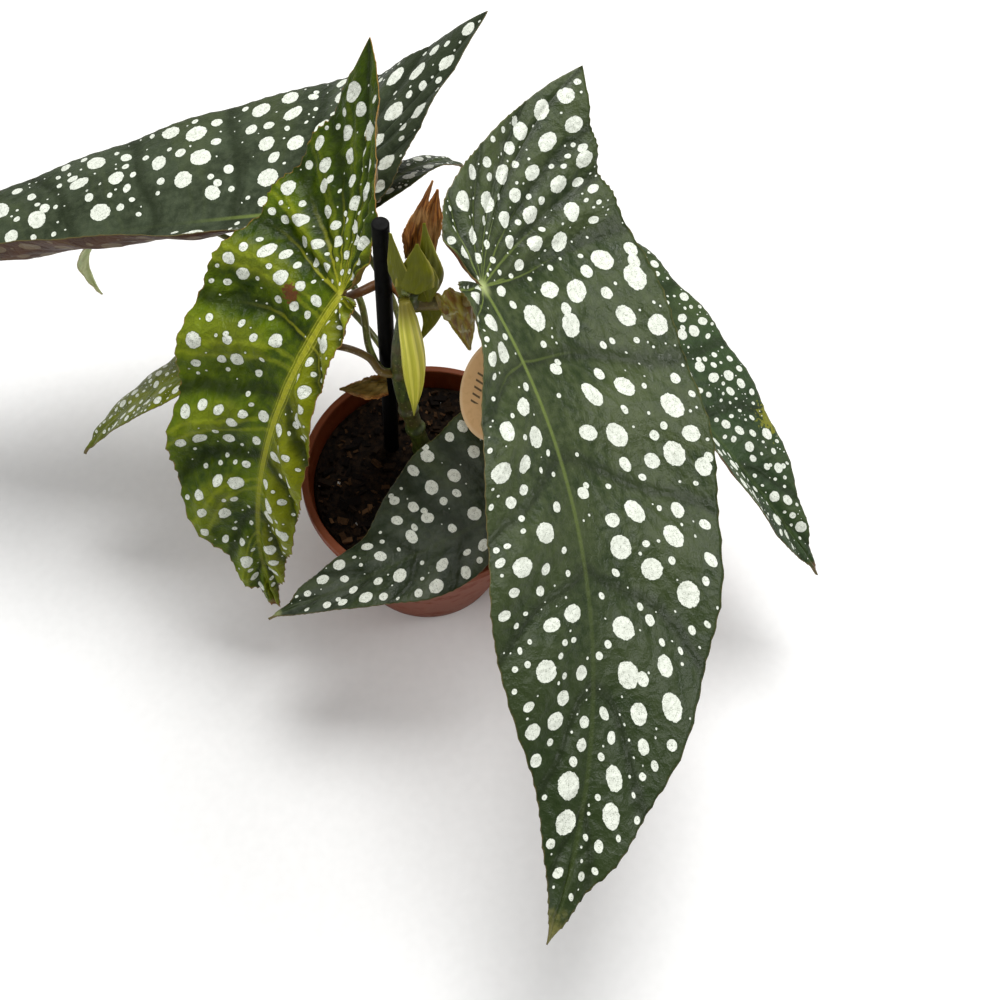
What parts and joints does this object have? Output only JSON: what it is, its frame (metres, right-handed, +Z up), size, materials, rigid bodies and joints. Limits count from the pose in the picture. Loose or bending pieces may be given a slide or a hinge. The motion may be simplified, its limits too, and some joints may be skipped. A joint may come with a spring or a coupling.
{
  "type": "potted begonia",
  "caption": "Potted polka dot begonia: a cane with large asymmetric wing-shaped spotted leaves, standing in soil in a small round nursery pot with a support stake and a plant label.",
  "frame": {"origin": "middle of the pot's flat underside", "axes": "+Z up, -Y towards the viewer of the picture, +X to the viewer's right"},
  "size_m": [0.3603, 0.2831, 0.2001],
  "materials": {
    "pot": "satin moulded plastic, terracotta brown",
    "soil": "moist potting mix with bark chips",
    "stake": "matte black plastic",
    "label": "matte tan card",
    "stem": "waxy green stem, brownish in places",
    "young_leaf": "soft pale young leaf",
    "dry_stipule": "dry papery brown",
    "leaf_dark": "satin dark green leaf with off-white spots",
    "leaf_light": "glossy yellow-green leaf with off-white spots"
  },
  "bodies": {
    "root": {"pot": "pot", "soil": "soil", "stake": "stake", "label": "label", "cane": "stem", "spear": "young_leaf", "stipule_1": "dry_stipule", "stipule_2": "dry_stipule", "stipule_3": "dry_stipule", "blade_a": "leaf_dark", "blade_b": "leaf_light", "blade_c": "leaf_dark", "blade_d": "leaf_dark", "blade_e": "leaf_dark", "blade_f": "leaf_light", "blade_g": "leaf_dark", "blade_h": "young_leaf"}
  },
  "joints": []
}
